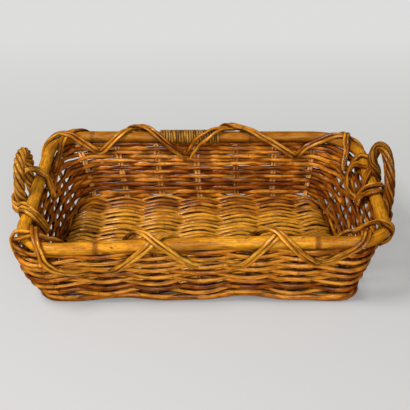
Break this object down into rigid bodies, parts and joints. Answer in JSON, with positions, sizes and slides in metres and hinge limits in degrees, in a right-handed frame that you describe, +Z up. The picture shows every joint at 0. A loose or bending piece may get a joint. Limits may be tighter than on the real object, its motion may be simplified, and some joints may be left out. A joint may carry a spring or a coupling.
{
  "type": "wicker tray",
  "caption": "Rectangular wicker tray with flared woven cane walls, a woven cane base, a bent pole rim lashed on with paired canes and roped arch handles at both ends.",
  "frame": {"origin": "middle of the underside of the tray's overall box, on the surface it stands on", "axes": "+X along the tray's length from handle to handle, +Y from the front wall to the back wall with the rim splice, +Z up"},
  "size_m": [0.5306, 0.35, 0.1756],
  "materials": {
    "rim_pole": "varnished bent pole, golden, with growth rings",
    "binding_cane": "fine split cane, brown, varnished",
    "foot_cane": "round cane, brown, varnished",
    "wall_cane": "round cane, brown to honey, varnished",
    "stake_cane": "round cane, pale brown, varnished",
    "base_cane": "round cane, golden brown, glossy varnish",
    "lash_cane": "round cane, orange brown, varnished",
    "handle_rope": "twisted canes, orange brown, varnished",
    "handle_core": "plain cane, brown"
  },
  "bodies": {
    "root": {"rim_pole": "rim_pole", "rim_splice_binding": "binding_cane", "foot_cane": "foot_cane", "wall_course_01": "wall_cane", "wall_course_02": "wall_cane", "wall_course_03": "wall_cane", "wall_course_04": "wall_cane", "wall_course_05": "wall_cane", "wall_course_06": "wall_cane", "wall_course_07": "wall_cane", "wall_course_08": "wall_cane", "wall_course_09": "wall_cane", "wall_course_10": "wall_cane", "wall_course_11": "wall_cane", "wall_course_12": "wall_cane", "wall_course_13": "wall_cane", "wall_course_14": "wall_cane", "wall_course_15": "wall_cane", "long_stake_1": "stake_cane", "long_stake_2": "stake_cane", "long_stake_3": "stake_cane", "long_stake_4": "stake_cane", "long_stake_5": "stake_cane", "long_stake_6": "stake_cane", "long_stake_7": "stake_cane", "left_stake_1": "stake_cane", "left_stake_2": "stake_cane", "left_stake_3": "stake_cane", "left_stake_4": "stake_cane", "right_stake_1": "stake_cane", "right_stake_2": "stake_cane", "right_stake_3": "stake_cane", "right_stake_4": "stake_cane", "base_cane_1": "base_cane", "base_cane_2": "base_cane", "base_cane_3": "base_cane", "base_cane_4": "base_cane", "base_cane_5": "base_cane", "front_lash_a1": "lash_cane", "front_lash_a2": "lash_cane", "front_lash_b1": "lash_cane", "front_lash_b2": "lash_cane", "back_lash_a1": "lash_cane", "back_lash_a2": "lash_cane", "back_lash_b1": "lash_cane", "back_lash_b2": "lash_cane", "left_hitch_front": "lash_cane", "left_hitch_back": "lash_cane", "right_hitch_front": "lash_cane", "right_hitch_back": "lash_cane", "left_handle_rope": "handle_rope", "right_handle_rope": "handle_rope", "left_handle_core": "handle_core", "right_handle_core": "handle_core"}
  },
  "joints": []
}
